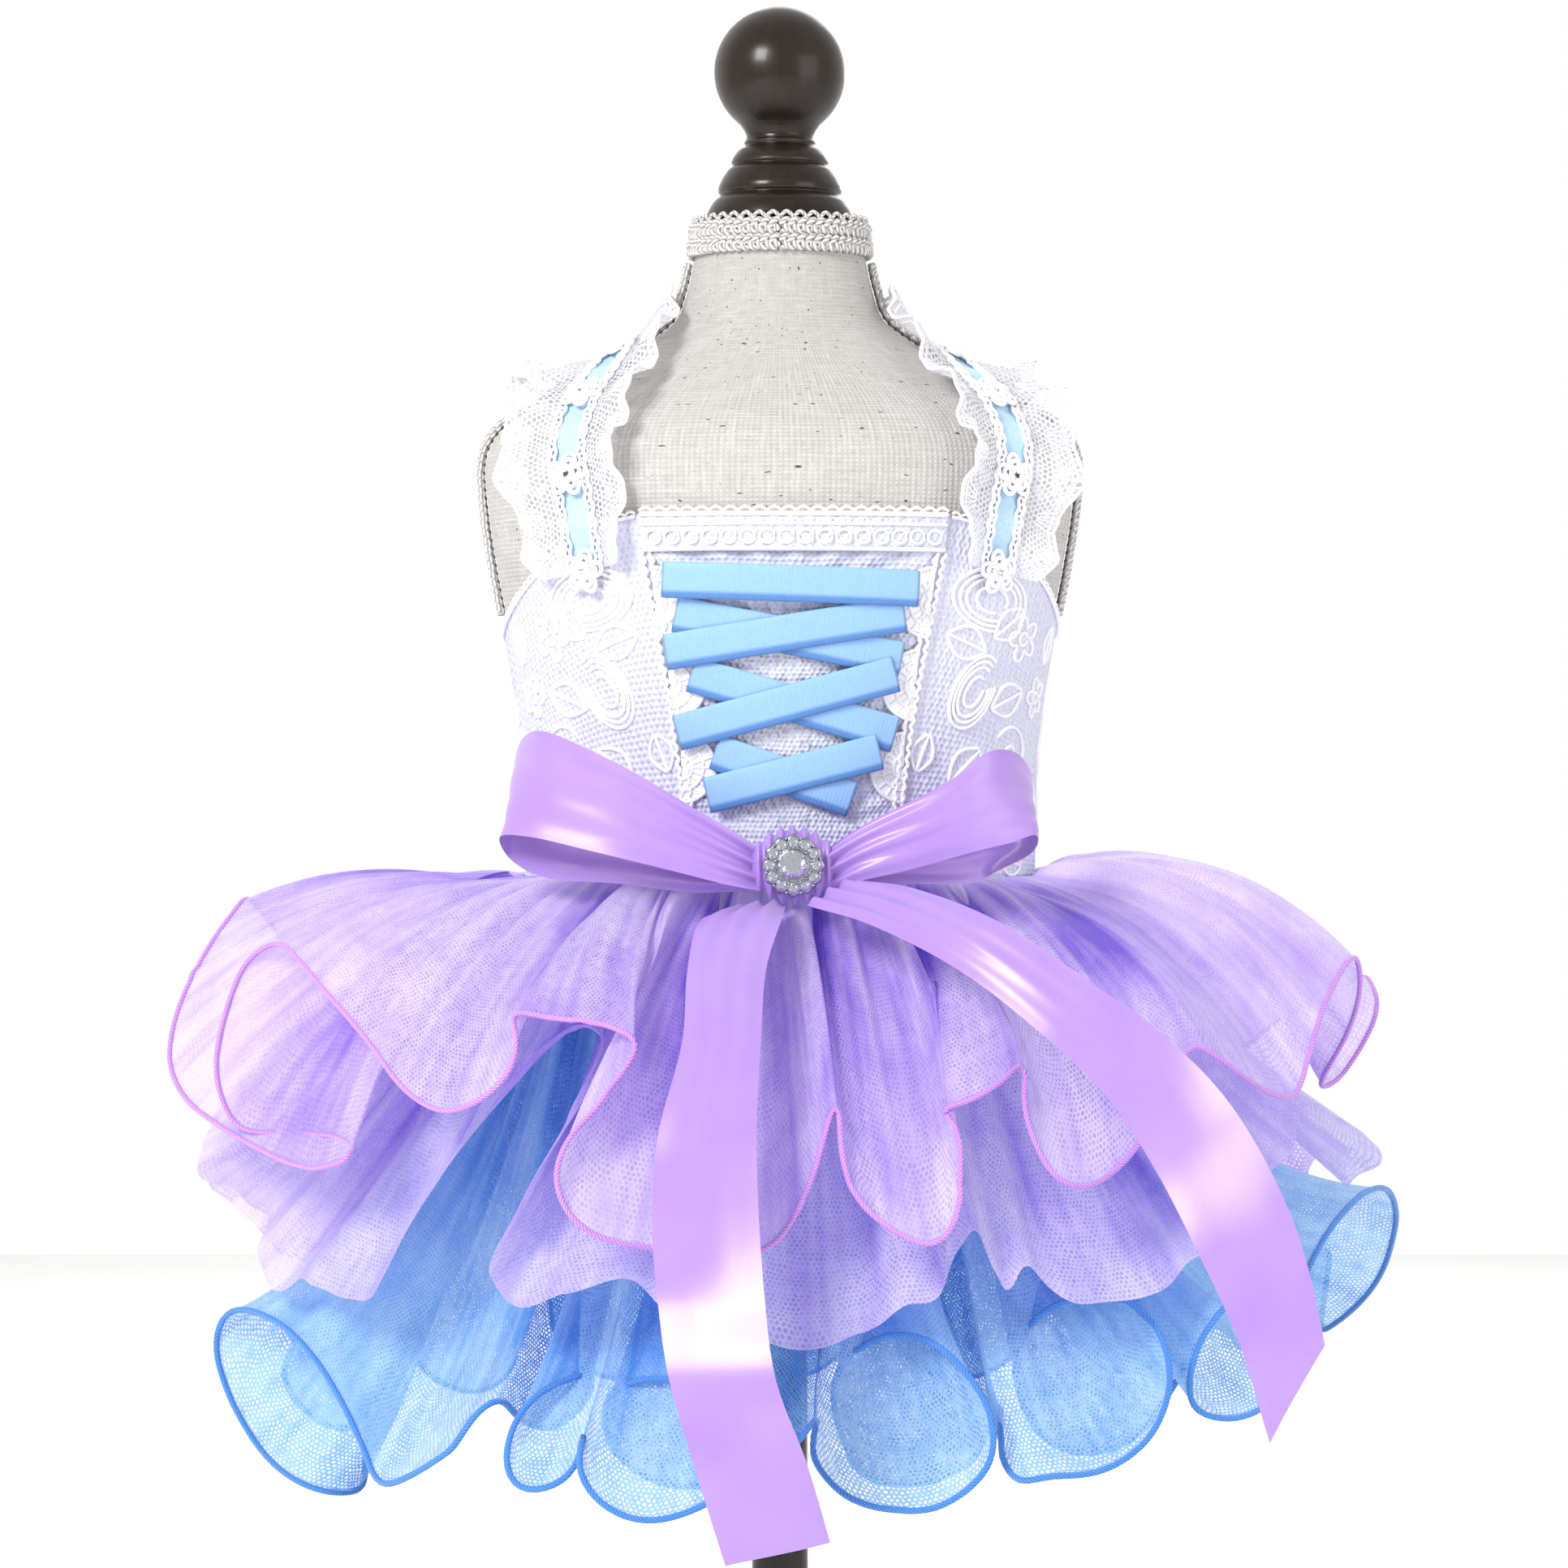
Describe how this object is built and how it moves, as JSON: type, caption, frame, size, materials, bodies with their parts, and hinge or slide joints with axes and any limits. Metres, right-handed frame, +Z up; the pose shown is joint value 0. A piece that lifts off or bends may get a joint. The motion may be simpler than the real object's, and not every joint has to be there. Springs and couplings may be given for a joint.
{
  "type": "dog tutu dress on a dress form",
  "caption": "Small dog's tutu dress with lace bodice, ribbon lacing, satin bow and ruffled tulle skirt, worn by a limbless dress form on a round stand.",
  "frame": {"origin": "centre of the stand's flat underside, which rests on the surface", "axes": "+Z up along the pole, -Y to the front of the dress with its bow, +X to the viewer's right"},
  "size_m": [0.2924, 0.2829, 0.4418],
  "materials": {
    "linen": "plain slubbed linen",
    "dark_wood": "glossy dark stained turning",
    "gimp_braid": "white looped gimp",
    "white_lace": "corded white lace",
    "beading": "ribbon threaded through white lace",
    "sky_ribbon": "matte grosgrain-like ribbon",
    "lilac_tulle": "stiff lilac net",
    "blue_tulle": "stiff blue net",
    "orchid_satin": "glossy satin ribbon",
    "silver": "bright plated",
    "crystal": "cut clear stone"
  },
  "bodies": {
    "root": {"form_torso": "linen", "form_cap_ball": "dark_wood", "form_pole": "dark_wood", "form_base": "dark_wood", "form_braid_neck": "gimp_braid", "form_braid_left": "gimp_braid", "form_braid_right": "gimp_braid", "bodice_centre": "white_lace", "bodice_front_right": "white_lace", "bodice_front_left": "white_lace", "bodice_back_right": "white_lace", "bodice_back_left": "white_lace", "neckline_lace_band": "white_lace", "picot_edging_left": "white_lace", "picot_edging_right": "white_lace", "lacing_top_bar": "sky_ribbon", "lacing_1_under": "sky_ribbon", "lacing_1_over": "sky_ribbon", "lacing_2_under": "sky_ribbon", "lacing_2_over": "sky_ribbon", "lacing_3_under": "sky_ribbon", "lacing_3_over": "sky_ribbon", "strap_left_beading": "beading", "strap_left_frill_inner": "white_lace", "strap_left_frill_outer": "white_lace", "strap_right_beading": "beading", "strap_right_frill_inner": "white_lace", "strap_right_frill_outer": "white_lace", "lilac_ruffle_front_left": "lilac_tulle", "lilac_ruffle_front_right": "lilac_tulle", "lilac_ruffle_back_right": "lilac_tulle", "lilac_ruffle_back_left": "lilac_tulle", "lilac_underlayer_front_left": "lilac_tulle", "lilac_underlayer_front_right": "lilac_tulle", "lilac_underlayer_back_right": "lilac_tulle", "lilac_underlayer_back_left": "lilac_tulle", "blue_ruffle_front_left": "blue_tulle", "blue_ruffle_front_right": "blue_tulle", "blue_ruffle_back_right": "blue_tulle", "blue_ruffle_back_left": "blue_tulle", "bow_loop_left": "orchid_satin", "bow_loop_right": "orchid_satin", "bow_tail_front": "orchid_satin", "bow_tail_side": "orchid_satin", "bow_knot": "orchid_satin", "brooch_setting": "silver", "brooch_stone": "crystal"}
  },
  "joints": []
}
